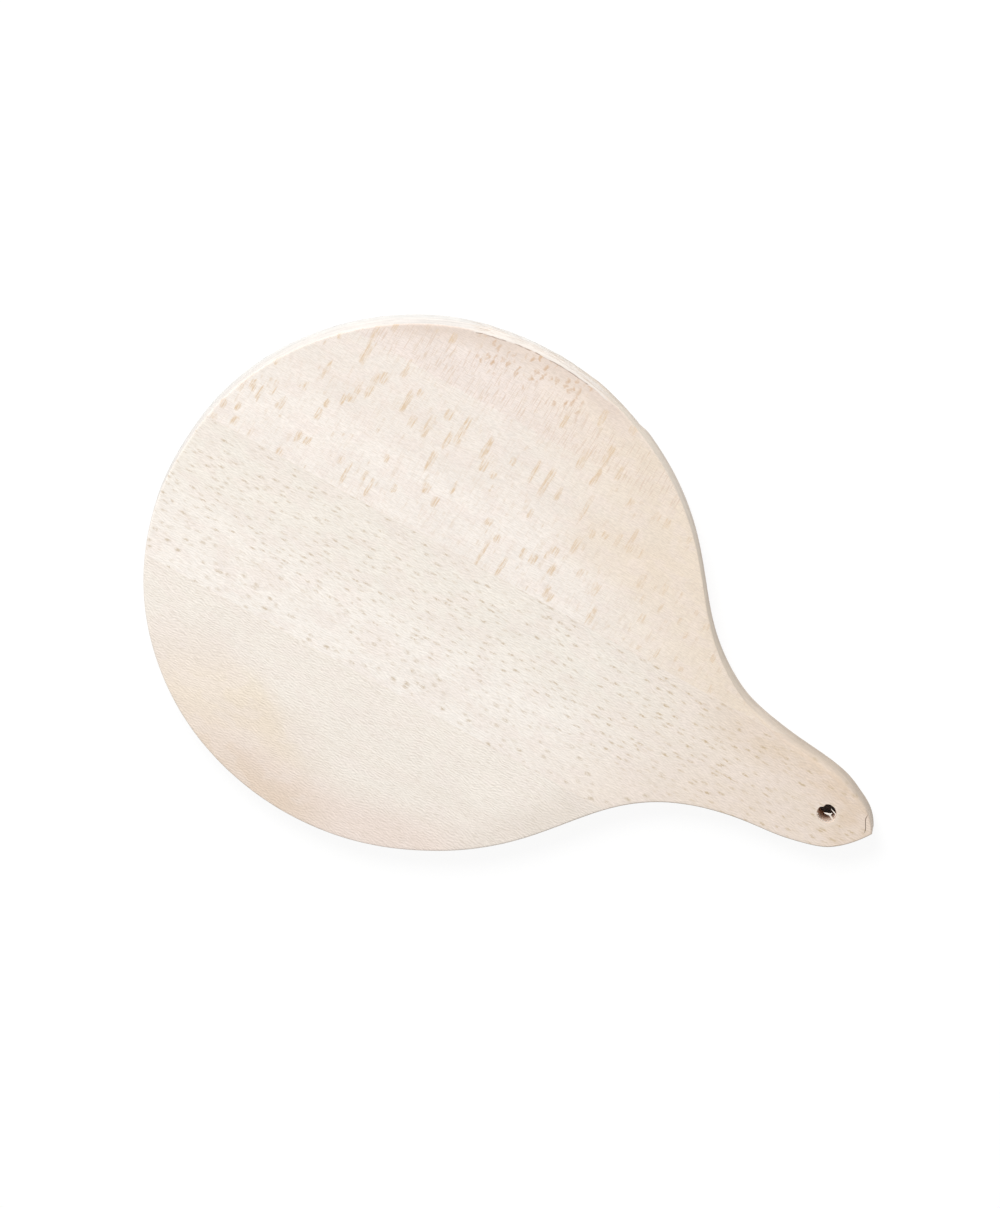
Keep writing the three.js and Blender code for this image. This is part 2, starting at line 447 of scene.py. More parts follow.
    def strokes(self, placed, farthest=9.0):
        """How far each place is from the nearest ray: 0 in its middle and 1 at its nearly square edge."""
        nearest = farthest
        for x, y, z, width, length, depth in placed:
            counts = Vector((2 / width, 2 / length, 2 / depth))
            shift = -counts * Vector((x, y, z))
            inputs = {0: self.place, 1: counts, 2: shift}
            away = self.node("ShaderNodeVectorMath", inputs, operation="MULTIPLY_ADD")
            away = self.node("ShaderNodeVectorMath", {0: away, 1: away}, operation="MULTIPLY")
            away = self.node("ShaderNodeVectorMath", {0: away}, "Value", operation="LENGTH")
            nearest = self.least(away, nearest)
        return nearest

    def sanded(self, fibres):
        """How rough the sanded wood is, following its fibres."""
        return self.ramp(fibres, 0.3, 0.7, 0.5, 0.7)

    def finish(self, colour, roughness, height, relief):
        """Wires colour, roughness and a height in shares of relief, which is in metres."""
        self.tree.links.new(colour, self.shader.inputs["Base Color"])
        self.tree.links.new(roughness, self.shader.inputs["Roughness"])
        bump = self.node("ShaderNodeBump", {"Height": height, "Strength": 1.0, "Distance": relief})
        self.tree.links.new(bump, self.shader.inputs["Normal"])
        self.shader.inputs["Specular IOR Level"].default_value = SHEEN
        return self.material


LONG_RAYS = (
    (-85, 105), (-62, 98), (38, 102), (20, 83), (52, 80), (-54, 83), (-73, 81), (-38, 77),
    (-97, 77), (-22, 84), (-7, 82), (18, 32), (-62, 34), (28, 81), (48, 110),
)
MIDDLING_RAYS = (
    (-84, 94), (-46, 75), (36, 79), (-26, 76), (-28, 61), (-11, 55), (-115, 55), (57, 60),
    (80, 79), (56, 32), (48, 97), (57, 105), (82, 32), (30, 31), (120, 31), (107, 62), (95, 60),
    (-48, 34), (20, 114), (74, 74),
)
SHORT_RAYS = (
    (-78, 114), (-100, 97), (-50, 124), (-121, 69), (-102, 64), (-88, 61), (-89, 54), (-125, 51),
    (-130, 47), (-120, 49), (-108, 50), (-78, 76), (-79, 70), (-82, 67), (-70, 88), (-50, 90),
    (-32, 88), (-4, 73), (3, 71), (8, 82), (-23, 48), (-16, 44), (-48, 51), (13, 48), (-67, 39),
    (-53, 38), (-37, 40), (-92, 39), (-87, 39), (-126, 37), (-133, 35), (-124, 30), (-134, 26),
    (-96, 27), (52, 127), (36, 127), (36, 123), (67, 73), (81, 73), (88, 73), (85, 94), (91, 93),
    (105, 91), (70, 93), (61, 70), (29, 63), (49, 52), (47, 48), (100, 52), (116, 64), (127, 60),
    (122, 52), (128, 47), (110, 53), (105, 44), (66, 48), (77, 45), (21, 43), (36, 43), (42, 43),
    (53, 43), (59, 30), (111, 29), (130, 34), (135, 30), (153, 28), (146, 43), (135, 56),
)
RAY_DEPTH = 22
RAY_WIDTH_SPREAD = 0.25
RAY_LENGTH_SPREAD = 0.2
RAYS_SMALLER_FROM = (95, 125)
NECK_RAY_SHARE = 0.65
FIBRE_RELIEF = 0.12 * MM


def cut_rays(places, width, length):
    """Rays that the sanded face cuts, as middles, widths, lengths and depths in mm, no two alike."""
    cut = []
    for x, y in places:
        share = 1 - (1 - NECK_RAY_SHARE) * eased_between(x, *RAYS_SMALLER_FROM)
        width_here = width * share * (1 + RAY_WIDTH_SPREAD * math.sin(2.3 * x + y))
        length_here = length * share * (1 + RAY_LENGTH_SPREAD * math.sin(1.1 * x - 0.6 * y))
        cut.append((x, y, THICKNESS / MM, width_here, length_here, RAY_DEPTH))
    return cut


def quarter_sawn_beech():
    """Sanded beech with ray flecks across the grain: pinker past one ring line and tan towards the neck."""
    wood = Surface("quarter_sawn_beech")
    warmth = wood.sum(wood.along, wood.across)
    colour = wood.stain(seen(247, 239, 231), seen(243, 234, 225), wood.ramp(wood.across, 52, 72))
    colour = wood.stain(colour, seen(242, 230, 222), wood.ramp(wood.across, 101.5, 102.5))
    colour = wood.stain(colour, seen(238, 223, 205), wood.ramp(warmth, 85, 205))
    before_neck = wood.product(wood.ramp(wood.along, 40, 62), wood.ramp(wood.along, 115, 95))
    before_neck = wood.product(before_neck, wood.ramp(wood.across, 46, 58), wood.ramp(wood.across, 84, 74))
    colour = wood.stain(colour, seen(237, 216, 190), wood.product(before_neck, 0.22))
    colour = wood.blushed(colour, seen(243, 228, 220), 5.7)
    out = wood.distance(0, 0)
    near_rim = wood.product(wood.ramp(out, 126, 138), wood.ramp(wood.across, 100, 124))
    near_rim = wood.product(near_rim, wood.ramp(wood.along, 60, 36), 0.95)
    colour = wood.stain(colour, seen(229, 213, 201), near_rim)

    wood.wander((60, 25, 25), (0, 2.0, 1.0), 3.1)
    colour = wood.mottled(colour, wood.cloud((22, 12, 12), 1.3), 0.02)
    rings = wood.cloud((420, 3.4, 160), 1.3, 3.0)
    colour = wood.stain(colour, seen(233, 218, 204), wood.ramp(rings, 0.52, 0.75, 0, 0.2))
    fibres = wood.cloud((2.4, 0.5, 0.5), 2.2, 3.0)
    colour = wood.mottled(colour, fibres, 0.08)
    colour = wood.pores(colour, seen(226, 211, 194), 0.4, 6.2)
    streaked = wood.cloud((0.6, 9, 0.9), 4.4)
    pink_band = wood.product(wood.ramp(wood.across, 100, 104), wood.ramp(wood.across, 128, 120))
    hairs = wood.product(wood.ramp(streaked, 0.52, 0.68), wood.sum(wood.product(pink_band, 0.5), 0.18))
    colour = wood.stain(colour, seen(223, 201, 183), hairs)

    wood.wander((2.6, 5, 4), (0.9, 1.6, 0), 8.4)
    ragged = wood.cloud((1.5, 3.2, 2.0), 7.7, 3.0)
    worn = wood.ramp(ragged, 0.30, 0.60, 0.3, 1.0)
    lined = wood.product(worn, wood.ramp(streaked, 0.38, 0.62, 0.2, 1.0))
    cut = cut_rays(LONG_RAYS, 3.2, 15)
    cut += cut_rays(MIDDLING_RAYS, 3.3, 9.5)
    cut += cut_rays(SHORT_RAYS, 3.3, 5.5)
    fleck = wood.product(wood.ramp(wood.strokes(cut), 1.35, 0.4), lined)
    fleck = wood.product(fleck, wood.ramp(wood.along, 45, 105, 0.95, 0.65))
    colour = wood.stain(colour, seen(225, 200, 170), fleck)
    crumb, chance = wood.rays((4.6, 5.2, 9), (2.0, 2.9, 9), 2.7, 0.95, (1.35, 0.3))
    crumb = wood.product(crumb, lined, wood.ramp(chance, 0.45, 0.95))
    colour = wood.stain(colour, seen(226, 206, 183), wood.product(crumb, 0.8))
    wood.wander((2.4, 2.4, 4), (1.8, 1.8, 0), 4.7)
    curled, chance = wood.rays((4.2, 4.6, 9), (2.0, 3.7, 9), 2.1, 1.0, (1.4, 0.4))
    curled = wood.product(curled, worn, wood.ramp(chance, 0.3, 0.55), wood.ramp(wood.across, 116, 121))
    curled = wood.product(curled, wood.ramp(wood.gap(wood.along, -6), 40, 24))
    colour = wood.stain(colour, seen(215, 185, 157), curled)
    scattered, chance = wood.rays((5.5, 9, 9), (2.8, 8.5, 9), 5.3, 0.95, (1.3, 0.2))
    faint = wood.product(scattered, lined, wood.ramp(chance, 0.1, 0.9))
    faint = wood.product(faint, wood.ramp(wood.up, 15, 2, 0.5, 1.0))
    colour = wood.stain(colour, seen(228, 210, 190), faint)

    colour = wood.sawn_walls_and_painted_shading(colour, fibres)
    ends = wood.sum(wood.along, wood.product(wood.cloud((40, 40, 0.9), 4.9, 3.0), 30))
    torn = wood.product(wood.ramp(ends, -31, -25), wood.ramp(ends, 50, 42))
    torn = wood.product(torn, wood.ramp(wood.across, 126, 131))
    frayed = wood.sum(out, wood.product(wood.cloud((7, 7, 40), 5.1, 3.0), 1.6))
    over_edge = wood.product(torn, wood.ramp(frayed, 139.3, 139.7), wood.ramp(wood.up, 2, 9))
    colour = wood.stain(colour, seen(235, 227, 219), over_edge)
    lip = wood.product(torn, wood.ramp(wood.gap(frayed, 139.4), 0.38, 0.1), wood.ramp(wood.up, 12.5, 14))
    lip = wood.product(lip, wood.ramp(wood.cloud((7, 7, 40), 2.6, 3.0), 0.42, 0.58))
    colour = wood.stain(colour, seen(158, 132, 114), wood.product(lip, 0.75))
    streaks = wood.ramp(wood.cloud((24, 4, 0.5), 6.6, 3.0), 0.55, 0.63)
    streaks = wood.product(streaks, torn, wood.wall)
    colour = wood.stain(colour, seen(190, 162, 134), wood.product(streaks, 0.6))
    return wood.finish(colour, wood.sanded(fibres), fibres, FIBRE_RELIEF)


upper_shape = ripped(UPPER_STAVE_EDGE, DISC_RADIUS + SAW_OVERRUN)
upper_stave = fitted("upper_stave_sanded", upper_shape, quarter_sawn_beech())
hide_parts("upper_stave")


# Middle stave: flat-sawn beech that carries on into the handle, with its rays cut end on as short dashes.
# It is glued between the other two, and the hanging hole is drilled through the handle.
# The drill left a ragged rim, and a short crack runs across the grain near the tip.
MIDDLE_STAVE_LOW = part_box("middle_stave")[0].y
MIDDLE_STAVE_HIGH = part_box("middle_stave")[1].y
HOLE_TO_TIP = 24 * MM
HOLE_OFF_AXIS = 0.5 * MM
HOLE_MIDDLE = Vector((TIP_X - HOLE_TO_TIP, HOLE_OFF_AXIS))
HOLE_RADIUS = 4.75 * MM
HOLE_SIDES = 96
HOLE_LEVELS = 30
HOLE_RIM = 0.35 * MM
HOLE_RAGGED = 0.20 * MM
HOLE_RAGGED_TURNS = 1.6
HOLE_RAGGED_HEIGHT = 4 * MM
HOLE_RAGGED_NOISE = (1.0, 2.0, 3)
NICK_ANGLE = math.radians(145)
NICK_WIDTH = math.radians(15)
NICK_REACH = 0.9 * MM
NICK_DEPTH = 2.5 * MM

CRACK_FROM_Y = 8.0
CRACK_TO_Y = 0.4
CRACK_BEND = (9.0, 1.6)
CRACK_X = (254.3, 257.4)
CRACK_STEPS = 30
CRACK_HALF_WIDTH = 0.17
CRACK_DEPTH = 0.7 * MM
FLAT_TOLERANCE = 0.001 * MM
FILL_TOLERANCE = 1e-6
WELD_DISTANCE = 1e-8


def hole_edge(angle, height):
    """A point of the hole's wall: rounded at both rims, a little ragged, with a nick of standing wood."""
    from_rim = min(height, THICKNESS - height)
    radius = HOLE_RADIUS + HOLE_RIM * (1 - eased_between(from_rim, 0, 2 * HOLE_RIM))
    away = heading(angle)
    spot = (away * HOLE_RAGGED_TURNS).to_3d() + Vector((0.3, 0.4, height / HOLE_RAGGED_HEIGHT))
    radius += HOLE_RAGGED * noise.fractal(spot, *HOLE_RAGGED_NOISE)
    nick = math.exp(-((angle - NICK_ANGLE) / NICK_WIDTH) ** 2)
    radius -= NICK_REACH * nick * eased_between(height, THICKNESS - NICK_DEPTH, THICKNESS - NICK_DEPTH / 2)
    return (HOLE_MIDDLE + away * radius).to_3d() + Vector((0, 0, height))


def crack_at(y):
    """Where the crack lies along the handle at a place across it, both in mm."""
    bend = eased_between(y, *CRACK_BEND)
    return CRACK_X[0] + (CRACK_X[1] - CRACK_X[0]) * bend


def crack_lines():
    """The crack's two lips and its bottom, as lists of points on the serving face, meeting at both ends."""
    lips = ([], [], [])
    for step in range(CRACK_STEPS + 1):
        share = step / CRACK_STEPS
        y = CRACK_FROM_Y + (CRACK_TO_Y - CRACK_FROM_Y) * share
        open_here = math.sin(math.pi * share) * (0.75 + 0.5 * noise.noise((7.3 * share, 0.4, 0.6)))
        for side, line in zip((-1, 0, 1), lips):
            if side or 0 < step < CRACK_STEPS:
                x = crack_at(y) + side * CRACK_HALF_WIDTH * open_here
                depth = 0 if side else CRACK_DEPTH * open_here
                line.append(Vector((x * MM, y * MM, THICKNESS - depth)))
    return lips


def laid_anew(stave, height, loops, lines):
    """Fills a flat face of the stave again, left open inside the loops and creased along the lines."""
    flat_faces = []
    for face in stave.faces:
        if all(abs(vert.co.z - height) < FLAT_TOLERANCE for vert in face.verts):
            flat_faces.append(face)
    old_face = max(flat_faces, key=lambda face: face.calc_area())
    upward = old_face.normal.z > 0
    verts = list(old_face.verts)
    stave.faces.remove(old_face)
    creases = [(here, (here + 1) % len(verts)) for here in range(len(verts))]
    for loop in loops:
        first = len(verts)
        verts += loop
        creases += [(first + here, first + (here + 1) % len(loop)) for here in range(len(loop))]
    for line in lines:
        first = len(verts)
        verts += [stave.verts.new(place) for place in line]
        creases += [(here, here + 1) for here in range(first, len(verts) - 1)]
    flat = [vert.co.xy / MM for vert in verts]
    places, _, faces, sources, _, _ = delaunay_2d_cdt(flat, creases, [], 1, FILL_TOLERANCE)
    for face in faces:
        middle = sum((places[corner] for corner in face), Vector((0, 0))) / len(face) * MM
        away = middle - HOLE_MIDDLE
        rim = hole_edge(math.atan2(away.y, away.x), height).xy - HOLE_MIDDLE
        if away.length > rim.length:
            corners = [verts[sources[corner][0]] for corner in face]
            stave.faces.new(corners if upward else reversed(corners))


def drilled(stave):
    """Drills the hanging hole through the stave and opens the crack near its tip."""
    rings = []
    for level in range(HOLE_LEVELS + 1):
        height = THICKNESS * 0.5 * (1 - math.cos(math.pi * level / HOLE_LEVELS))
        angles = [math.pi * (2 * side / HOLE_SIDES - 1) for side in range(HOLE_SIDES)]
        rings.append([stave.verts.new(hole_edge(angle, height)) for angle in angles])
    for low, high in zip(rings, rings[1:]):
        for here in range(HOLE_SIDES):
            stave.faces.new((low[here], low[here - 1], high[here - 1], high[here]))
    laid_anew(stave, 0.0, [rings[0]], [])
    laid_anew(stave, THICKNESS, [rings[-1]], crack_lines())
    bmesh.ops.remove_doubles(stave, verts=stave.verts, dist=WELD_DISTANCE)
    return stave


def flat_sawn_beech():
    """Sanded beech with short dashes along the grain, warmer and darker down the handle, with painted shade
    along the crack.
    """
    wood = Surface("flat_sawn_beech")
    colour = wood.stain(seen(249, 242, 234), seen(244, 237, 227), wood.ramp(wood.across, -34, 4))
    colour = wood.stain(colour, seen(242, 234, 224), wood.ramp(wood.across, 15, 22))
    down_handle = wood.sum(wood.along, wood.product(wood.gap(wood.across, 0), 0.6))
    colour = wood.stain(colour, seen(236, 221, 207), wood.ramp(down_handle, 90, 220))
    upper_edge = wood.product(wood.ramp(wood.across, 0, 18), wood.ramp(wood.along, 145, 205))
    colour = wood.stain(colour, seen(228, 210, 191), upper_edge)
    tip_side = wood.ramp(wood.sum(wood.along, wood.across), 215, 250)
    colour = wood.stain(colour, seen(228, 208, 188), tip_side)
    colour = wood.blushed(colour, seen(242, 228, 220), 2.9)
    from_hole = wood.distance(*(HOLE_MIDDLE / MM))
    crack_line = wood.ramp(wood.across, *CRACK_BEND, *CRACK_X)
    from_crack = wood.gap(wood.along, crack_line)

    wood.wander((90, 30, 40), (0, 3.0, 2.0), 6.1)
    colour = wood.mottled(colour, wood.cloud((30, 14, 14), 4.3), 0.015)
    rings = wood.cloud((200, 16, 2.2), 2.3, 3.0)
    colour = wood.stain(colour, seen(237, 224, 211), wood.ramp(rings, 0.48, 0.72, 0, 0.16))
    fibres = wood.cloud((2.4, 0.5, 0.5), 5.2, 3.0)
    colour = wood.mottled(colour, fibres, 0.07)
    colour = wood.mottled(colour, wood.hairlines((2.3, 2.4, 2.4), 1.8, 5.2), 0.05)
    colour = wood.pores(colour, seen(226, 212, 196), 0.45, 1.9)
    wood.wander((2.4, 1.4, 6), (0.8, 0.5, 0), 9.4)
    broken = wood.ramp(wood.cloud((1.2, 0.6, 2), 3.7, 2.0), 0.36, 0.58, 0.2, 1.0)
    dash, chance = wood.rays((6.7, 4.3, 60), (4.5, 1.3, 90), 3.3, 0.95, (1.4, 0.3))
    dash = wood.product(dash, broken, wood.ramp(chance, 0.0, 0.9, 0.25, 1.0))
    dash = wood.product(dash, wood.ramp(wood.across, -40, -24))
    ray_colour = wood.stain(seen(211, 195, 174), seen(205, 184, 153), wood.ramp(wood.along, 90, 160))
    colour = wood.stain(colour, ray_colour, dash)
    dot, chance = wood.rays((7.4, 5.0, 60), (3.7, 2.0, 90), 7.3, 0.95, (1.4, 0.3))
    dot = wood.product(dot, broken, wood.ramp(chance, 0.1, 0.9, 0.25, 1.0))
    dot = wood.product(dot, wood.ramp(wood.across, -24, -40))
    colour = wood.stain(colour, seen(213, 198, 178), dot)

    colour = wood.sawn_walls_and_painted_shading(colour, fibres)
    halo = wood.product(wood.ramp(from_hole, 8.0, 5.2, 0, 0.25), wood.ramp(wood.up, 15.5, 16))
    colour = wood.stain(colour, seen(246, 237, 227), halo)
    drilled_wall = wood.product(wood.ramp(from_hole, 5.5, 5.1), wood.wall)
    bore = wood.stain(seen(196, 158, 134), seen(230, 210, 194), wood.ramp(wood.up, 3, 12))
    colour = wood.stain(colour, bore, drilled_wall)
    # Painted shade: a dark line along the crack and on to its closed outer end, standing for the shade in
    # it.
    crack = wood.product(wood.ramp(from_crack, 0.26, 0.1), wood.ramp(wood.up, 14.8, 15.2))
    crack = wood.product(crack, wood.ramp(wood.across, 11.4, 8.4), wood.ramp(wood.across, 0.0, 3.6))
    colour = wood.stain(colour, seen(98, 72, 54), crack)
    return wood.finish(colour, wood.sanded(fibres), fibres, FIBRE_RELIEF)


middle_shape = drilled(ripped(MIDDLE_STAVE_LOW, MIDDLE_STAVE_HIGH))
middle_stave = fitted("middle_stave_sanded", middle_shape, flat_sawn_beech())
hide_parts("middle_stave")


# Splinters: torn fibres of the middle stave that the drill left standing in the hanging hole.
# They are flat slivers of pale beech, still rooted in the hole's wall just under the face.
SPLINTERS = (
    (((5.3, -2.6, -2.6), (4.1, -1.7, -1.7), (2.7, -0.7, -1.2), (1.9, -0.2, -0.9), (1.4, 0.0, -0.8),
      (0.1, -0.3, -0.8), (-1.3, -0.6, -1.0)),
     (1.3, 1.1, 0.9, 1.0, 1.2, 0.9, 0.25)),
    (((1.5, -0.1, -0.9), (1.9, 0.5, -0.8), (2.4, 1.3, -0.9)), (0.9, 0.8, 0.2)),
    (((5.2, -0.6, -2.2), (4.5, 0.4, -1.3), (4.2, 1.7, -0.9), (2.8, 2.3, -0.8), (0.8, 2.9, -1.2)),
     (0.8, 0.6, 0.55, 0.5, 0.15)),
)
SPLINTER_FLATNESS = 0.4
FUZZ_FIBRES = 26
FUZZ_ANGLES = (math.radians(205), math.radians(345))
FUZZ_SPREAD = 0.9
FUZZ_ROOT = 0.4 * MM
FUZZ_DEPTHS = (0.5 * MM, 0.4 * MM)
FUZZ_LENGTHS = (0.7 * MM, 0.5 * MM)
FUZZ_RISE = 0.15 * MM
FUZZ_WIDTHS = (0.35 * MM, 0.25 * MM, 0.06 * MM)
RAW_RELIEF = 0.05 * MM


def splinter(fibres, spine, widths):
    """Adds a flat, tapering, closed sliver along a spine of points."""
    rings = []
    for here, (place, width) in enumerate(zip(spine, widths)):
        ahead = spine[min(here + 1, len(spine) - 1)] - spine[max(here - 1, 0)]
        across = ahead.cross(Vector((0, 0, 1))).normalized() * (width / 2)
        thick = across.cross(ahead.normalized()) * SPLINTER_FLATNESS
        rings.append([fibres.verts.new(place + corner) for corner in (across, thick, -across, -thick)])
    for low, high in zip(rings, rings[1:]):
        for side in range(4):
            fibres.faces.new((low[side - 1], low[side], high[side], high[side - 1]))
    fibres.faces.new(reversed(rings[0]))
    fibres.faces.new(rings[-1])


def torn_fibres():
    """All the slivers that stand in the hole, and the fuzz along its near rim, as a new bmesh."""
    fibres = bmesh.new()
    face_middle = HOLE_MIDDLE.to_3d() + Vector((0, 0, THICKNESS))
    for spine, widths in SPLINTERS:
        places = [face_middle + Vector(point) * MM for point in spine]
        splinter(fibres, places, [width * MM for width in widths])
    for count in range(FUZZ_FIBRES):
        chance = noise.noise_vector((1.7 * count + 0.3, 0.6, 0.2))
        angle = FUZZ_ANGLES[0] + (FUZZ_ANGLES[1] - FUZZ_ANGLES[0]) * (count + 0.5) / FUZZ_FIBRES
        depth = FUZZ_DEPTHS[0] + FUZZ_DEPTHS[1] * chance.x
        root = hole_edge(angle - 2 * math.pi, THICKNESS - depth)
        inward = -heading(angle + FUZZ_SPREAD * chance.y).to_3d()
        length = FUZZ_LENGTHS[0] + FUZZ_LENGTHS[1] * chance.z
        tip = root + inward * length + Vector((0, 0, FUZZ_RISE))
        splinter(fibres, [root - inward * FUZZ_ROOT, root.lerp(tip, 0.5), tip], FUZZ_WIDTHS)
    bmesh.ops.recalc_face_normals(fibres, faces=fibres.faces)
    return fibres


def torn_beech():
    """Pale raw fibre with finer darker lines along it."""
    wood = Surface("torn_beech")
    lines = wood.cloud((2.5, 0.3, 0.3), 3.9, 3.0)
    colour = wood.stain(seen(252, 245, 236), seen(222, 200, 176), wood.ramp(lines, 0.5, 0.8))
    return wood.finish(colour, wood.ramp(lines, 0.3, 0.7, 0.6, 0.8), lines, RAW_RELIEF)


hole_splinters = fitted("hole_splinters", torn_fibres(), torn_beech())


# Lower stave: the near side of the disc, a plain beech stave that shows fine pores and no rays.
# It is glued to the middle stave and sawn and sanded with it.
LOWER_STAVE_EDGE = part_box("lower_stave")[1].y
PLAIN_RELIEF = 0.16 * MM


def plain_beech():
    """Sanded beech with fine pores along the grain, peach at the lower left and pinker along the rim."""
    wood = Surface("plain_beech")
    colour = wood.stain(seen(245, 237, 227), seen(244, 236, 226), wood.ramp(wood.across, -60, -95))
    right_bound = wood.sum(wood.product(wood.along, -0.633), wood.product(wood.across, -0.774))
    upper_bound = wood.sum(wood.product(wood.along, 0.382), wood.product(wood.across, -0.924))
    peach = wood.product(wood.ramp(right_bound, 84, 99), wood.ramp(upper_bound, 44, 70))
    colour = wood.stain(colour, seen(244, 231, 213), peach)
    out = wood.distance(0, 0)
    left_rim = wood.product(wood.ramp(right_bound, 96, 106), wood.ramp(upper_bound, 28, 46))
    left_rim = wood.product(left_rim, wood.ramp(upper_bound, 72, 54, 0, 0.4))
    colour = wood.stain(colour, seen(240, 224, 211), left_rim)
    flank = wood.product(wood.ramp(right_bound, 70, 86), wood.ramp(upper_bound, 62, 80))
    flank = wood.product(flank, wood.ramp(out, 130, 112, 0, 0.2))
    colour = wood.stain(colour, seen(226, 206, 188), flank)
    pink_rim = wood.product(wood.ramp(out, 104, 128), wood.ramp(wood.across, -88, -122))
    pink_rim = wood.product(pink_rim, wood.ramp(wood.along, -70, -20, 0.3, 1.0))
    colour = wood.stain(colour, seen(240, 225, 215), pink_rim)
    brown_rim = wood.product(wood.ramp(out, 112, 136), wood.ramp(wood.across, -98, -128))
    brown_rim = wood.product(brown_rim, wood.ramp(wood.along, -80, -25, 0.3, 1.0))
    brown_rim = wood.product(brown_rim, wood.ramp(wood.along, 30, -8, 0.1, 1.0))
    colour = wood.stain(colour, seen(231, 212, 194), brown_rim)
    right_rim = wood.product(wood.ramp(out, 118, 138), wood.ramp(wood.along, 70, 105))
    colour = wood.stain(colour, seen(235, 225, 214), right_rim)
    colour = wood.blushed(colour, seen(243, 231, 223), 7.1)
    wood.wander((50, 20, 30), (0, 2.5, 1.5), 2.1)
    colour = wood.mottled(colour, wood.cloud((26, 12, 12), 9.3), 0.01)
    rings = wood.cloud((260, 9, 5), 8.3, 3.0)
    colour = wood.stain(colour, seen(235, 222, 208), wood.ramp(rings, 0.50, 0.75, 0, 0.14))
    wood.wander((6, 3, 3), (0, 0.5, 0.5), 5.6)
    fibres = wood.cloud((2.1, 0.36, 0.36), 7.2)
    lines = wood.hairlines((2.5, 2.4, 2.4), 1.8, 7.2)
    colour = wood.mottled(colour, lines, 0.085)
    colour = wood.mottled(colour, fibres, 0.06)
    colour = wood.pores(colour, seen(214, 201, 186), 0.5, 8.8)
    colour = wood.sawn_walls_and_painted_shading(colour, fibres)
    height = wood.sum(wood.product(lines, wood.ramp(wood.wall, 1, 0)), wood.product(fibres, wood.wall))
    return wood.finish(colour, wood.sanded(fibres), height, PLAIN_RELIEF)


lower_shape = ripped(-DISC_RADIUS - SAW_OVERRUN, LOWER_STAVE_EDGE)
lower_stave = fitted("lower_stave_sanded", lower_shape, plain_beech())
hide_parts("lower_stave")


# Glue lines: the two films of cured glue between the staves, sanded flush with the faces.
# They show as hair-thin lines, with reddish bits where the glue took up dust.
GLUE_RELIEF = 0.05 * MM


def cured_glue():
    """A thin tan film with darker bits along it."""
    glue = Surface("wood_glue")
    bits = glue.cloud((6, 400, 30), 4.2, 3.0)
    colour = glue.stain(seen(238, 227, 214), seen(176, 136, 104), glue.ramp(bits, 0.60, 0.70))
    colour = glue.sawn_walls_and_painted_shading(colour, bits)
    return glue.finish(colour, glue.ramp(bits, 0.3, 0.7, 0.45, 0.6), bits, GLUE_RELIEF)


glue_finish = cured_glue()
for line in ("upper_glue_line", "lower_glue_line"):
    low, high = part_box(line)
    film = fitted(line + "_film", ripped(low.y, high.y), glue_finish)
    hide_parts(line)
board_blank.free()


# Floor: a wide pale sheet that the board lies on.
# It shows white where nothing shades it and keeps the board's shadow.
# Under the hole it has no glow and shows dark grey, painted shade seen down the hole.
FLOOR_REACH = 6.0
FLOOR_DROP = 0.2 * MM
FLOOR_COLOUR = (0.9, 0.9, 0.9, 1)
FLOOR_COLOUR_SEEN = (0.16, 0.16, 0.16, 1)
FLOOR_GLOW_SEEN = 0.87
FLOOR_ROUGHNESS = 0.9
UNDER_HOLE_RADIUS = 12 * MM

floor_mesh = bpy.data.meshes.new("floor")
corners = [(-1, -1), (1, -1), (1, 1), (-1, 1)]
places = [(x * FLOOR_REACH, y * FLOOR_REACH, -FLOOR_DROP) for x, y in corners]
floor_mesh.from_pydata(places, [], [(0, 1, 2, 3)])
floor = bpy.data.objects.new("floor", floor_mesh)
bpy.context.scene.collection.objects.link(floor)


def showing(tree):
    """1 or more on the rays that show a place, straight, mirrored or through glass, and 0 on the rest."""
    path = tree.nodes.new("ShaderNodeLightPath")
    rays = path.outputs["Is Camera Ray"]
    for ray in ("Is Glossy Ray", "Is Transmission Ray"):
        added = tree.nodes.new("ShaderNodeMath")
        tree.links.new(rays, added.inputs[0])
        tree.links.new(path.outputs[ray], added.inputs[1])
        rays = added.outputs[0]
    return rays


sheet = Surface("pale_floor")
shown = sheet.least(showing(sheet.tree), 1.0)
from_hole = sheet.distance(*(HOLE_MIDDLE / MM))
# Painted shade: no glow within this reach of the hole, so the floor seen down it shows dark grey.
beside_hole = sheet.ramp(from_hole, UNDER_HOLE_RADIUS / MM, UNDER_HOLE_RADIUS / MM + 1)
sheet_colour = sheet.stain(FLOOR_COLOUR, FLOOR_COLOUR_SEEN, shown)
sheet.tree.links.new(sheet_colour, sheet.shader.inputs["Base Color"])
glow = sheet.product(shown, beside_hole, FLOOR_GLOW_SEEN)
sheet.tree.links.new(glow, sheet.shader.inputs["Emission Strength"])
sheet.shader.inputs["Emission Color"].default_value = (1, 1, 1, 1)
sheet.shader.inputs["Roughness"].default_value = FLOOR_ROUGHNESS
sheet.shader.inputs["Specular IOR Level"].default_value = 0.0
floor_mesh.materials.append(sheet.material)


# Light: a pale room and one large soft lamp, above the board and towards its far left.
# Together they light the face at a plain level, and the lamp makes the far edge brighter than the face.
ROOM_LEVEL = 0.52
LAMP_AZIMUTH = math.radians(137)
LAMP_ELEVATION = math.radians(42)
LAMP_DISTANCE = 4.0
LAMP_SIZE = 2.2
LAMP_LEVEL = 0.76

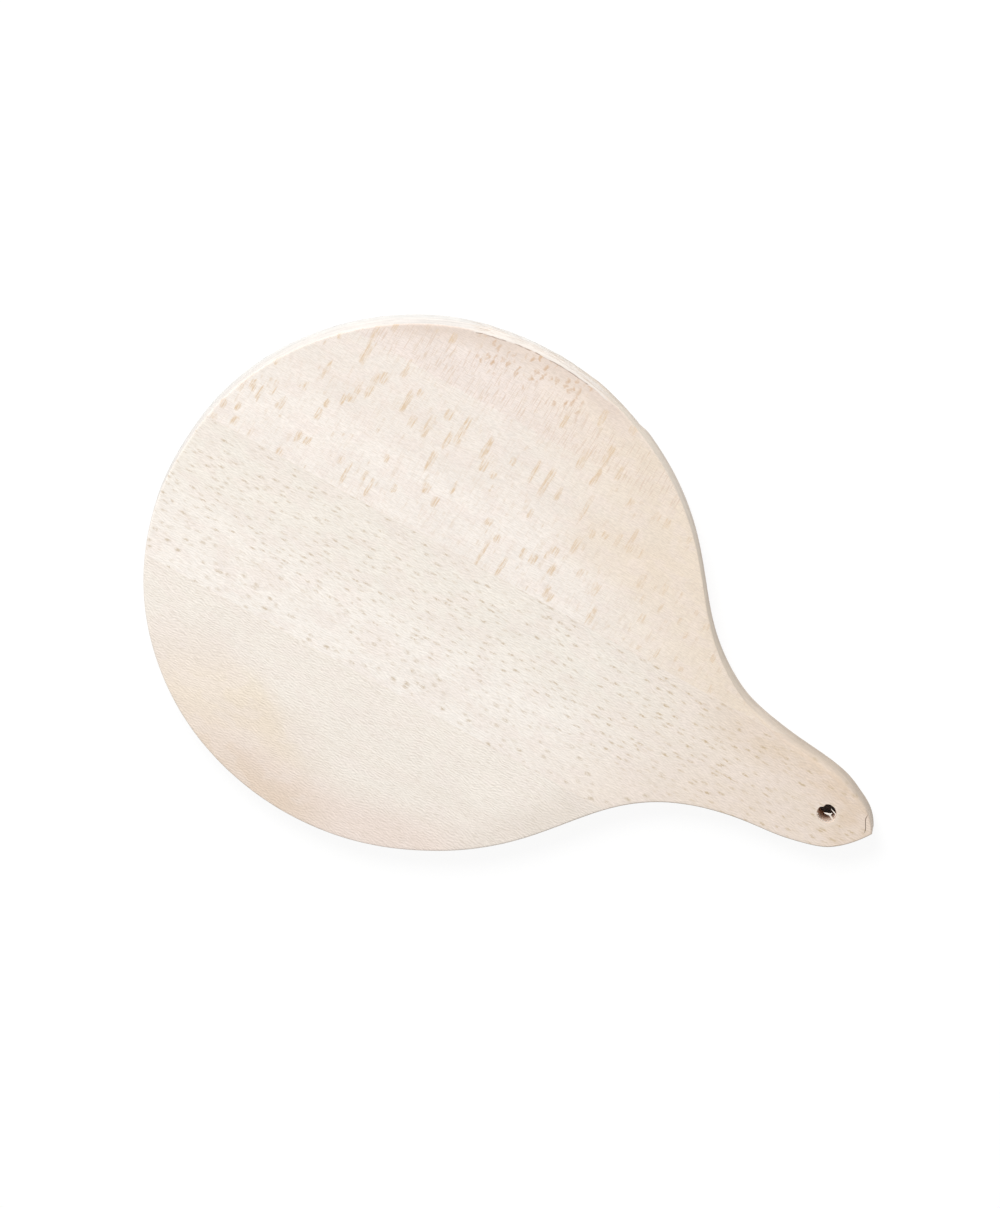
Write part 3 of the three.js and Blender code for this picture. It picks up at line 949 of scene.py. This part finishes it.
world = bpy.data.worlds.new("pale_room")
world.use_nodes = True
bpy.context.scene.world = world
background = world.node_tree.nodes["Background"]
background.inputs["Color"].default_value = (1, 1, 1, 1)
level = world.node_tree.nodes.new("ShaderNodeMapRange")
level.inputs["To Min"].default_value = ROOM_LEVEL
world.node_tree.links.new(showing(world.node_tree), level.inputs["Value"])
world.node_tree.links.new(level.outputs[0], background.inputs["Strength"])

lamp_data = bpy.data.lights.new("soft_lamp", "AREA")
lamp_data.shape = "DISK"
lamp_data.size = LAMP_SIZE
lamp_data.energy = LAMP_LEVEL * (math.pi * LAMP_DISTANCE) ** 2
lamp = bpy.data.objects.new("soft_lamp", lamp_data)
bpy.context.scene.collection.objects.link(lamp)
lamp_side = heading(LAMP_AZIMUTH) * math.cos(LAMP_ELEVATION)
lamp_way = Vector((lamp_side.x, lamp_side.y, math.sin(LAMP_ELEVATION)))
lamp.location = lamp_way * LAMP_DISTANCE
lamp.rotation_euler = lamp_way.to_track_quat("Z", "Y").to_euler()


# Camera: nearly overhead, leaning to the far side and rolled, so the handle points down to the right.
# It stands far off with a long lens, so the board shows with hardly any perspective.
CAMERA_LEAN = math.radians(18.28)
CAMERA_AZIMUTH = math.radians(107.13)
CAMERA_ROLL = math.radians(12.77)
CAMERA_DISTANCE = 16.0
FRAME_WIDTH = 504.5 * MM
FRAME_RIGHT_OF_DISC = 40.57 * MM
FRAME_BELOW_DISC = 7.97 * MM

side = heading(CAMERA_AZIMUTH).to_3d()
straight_up = Vector((0, 0, 1))
towards = side * math.sin(CAMERA_LEAN) + straight_up * math.cos(CAMERA_LEAN)
leaning_up = side * math.cos(CAMERA_LEAN) - straight_up * math.sin(CAMERA_LEAN)
leaning_right = leaning_up.cross(towards)
picture_up = leaning_up * math.cos(CAMERA_ROLL) - leaning_right * math.sin(CAMERA_ROLL)
picture_right = leaning_right * math.cos(CAMERA_ROLL) + leaning_up * math.sin(CAMERA_ROLL)
target = straight_up * THICKNESS + picture_right * FRAME_RIGHT_OF_DISC - picture_up * FRAME_BELOW_DISC

camera_data = bpy.data.cameras.new("camera")
camera_data.sensor_fit = "HORIZONTAL"
camera_data.lens = camera_data.sensor_width * CAMERA_DISTANCE / FRAME_WIDTH
camera = bpy.data.objects.new("camera", camera_data)
bpy.context.scene.collection.objects.link(camera)
camera.matrix_world = Matrix.LocRotScale(
    target + towards * CAMERA_DISTANCE,
    Matrix((picture_right, picture_up, towards)).transposed(),
    None,
)
bpy.context.scene.camera = camera
bpy.context.scene.view_settings.view_transform = "Standard"
